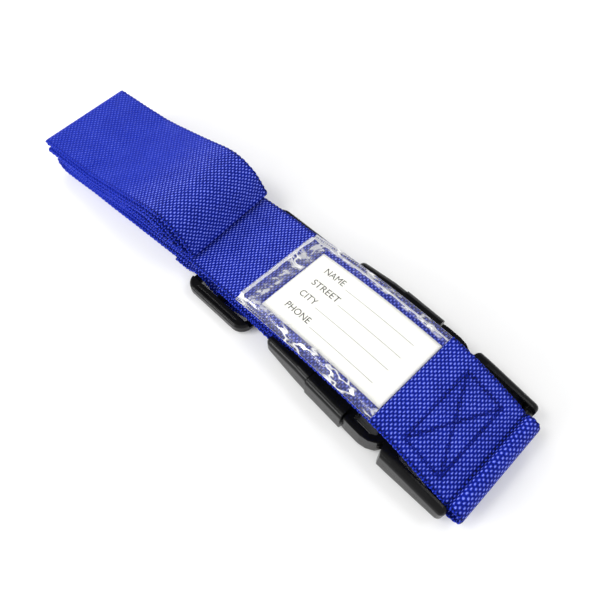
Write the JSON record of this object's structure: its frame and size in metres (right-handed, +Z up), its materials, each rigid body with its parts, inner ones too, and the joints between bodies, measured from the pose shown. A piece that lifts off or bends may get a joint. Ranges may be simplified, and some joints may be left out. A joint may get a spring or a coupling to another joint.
{
  "type": "luggage strap",
  "caption": "Adjustable luggage strap packed for sale: wide blue webbing folded into a bundle, closed by a black side-release buckle, with a slider and a clear name-card pocket.",
  "frame": {"origin": "on the table, under the middle of the socket's mouth band", "axes": "+X along the strap from the folded bundle to the buckle's tail, +Z up, +Y across the webbing"},
  "size_m": [0.2638, 0.0703, 0.0267],
  "materials": {
    "black_plastic": "moulded acetal, slightly shiny",
    "blue_webbing": "ribbed polypropylene weave",
    "clear_vinyl": "clear flexible film",
    "white_card": "matt card",
    "blue_thread": "sewing thread"
  },
  "bodies": {
    "plug_and_bundle": {"buckle_plug": "black_plastic", "webbing_bundle": "blue_webbing", "webbing_adjuster_run": "blue_webbing", "slider_loop_stitching": "blue_thread"},
    "socket_side": {"buckle_socket": "black_plastic", "webbing_window_run": "blue_webbing", "id_window": "clear_vinyl", "tab_stitching": "blue_thread"},
    "latch_left": {"latch_arm_left": "black_plastic"},
    "latch_right": {"latch_arm_right": "black_plastic"},
    "slider": {"strap_slider": "black_plastic"},
    "card": {"id_card": "white_card"}
  },
  "joints": [
    {"name": "buckle_release", "type": "slide", "parent": "plug_and_bundle", "child": "socket_side", "axis": [1, 0, 0], "range_m": [0, 0.038], "deforming": ["latch_arm_left", "latch_arm_right", "webbing_window_run"]},
    {"name": "latch_left_press", "type": "hinge", "parent": "plug_and_bundle", "child": "latch_left", "pos_m": [-0.0055, 0.024, 0.00688], "axis": [0, 0, -1], "range_deg": [0, 7.5], "stiffness_Nm_per_rad": 2},
    {"name": "latch_right_press", "type": "hinge", "parent": "plug_and_bundle", "child": "latch_right", "pos_m": [-0.0055, -0.024, 0.00688], "axis": [0, 0, 1], "range_deg": [0, 7.5], "stiffness_Nm_per_rad": 2},
    {"name": "slider_adjust", "type": "slide", "parent": "plug_and_bundle", "child": "slider", "axis": [0.9986, 0.0523, 0], "range_m": [0, 0.01], "deforming": ["webbing_adjuster_run"]},
    {"name": "card_draw", "type": "hinge", "parent": "socket_side", "child": "card", "pos_m": [0.00721, -0.00164, -0.3303], "axis": [0.0175, -0.9998, 0], "range_deg": [0, 2.6]}
  ]
}
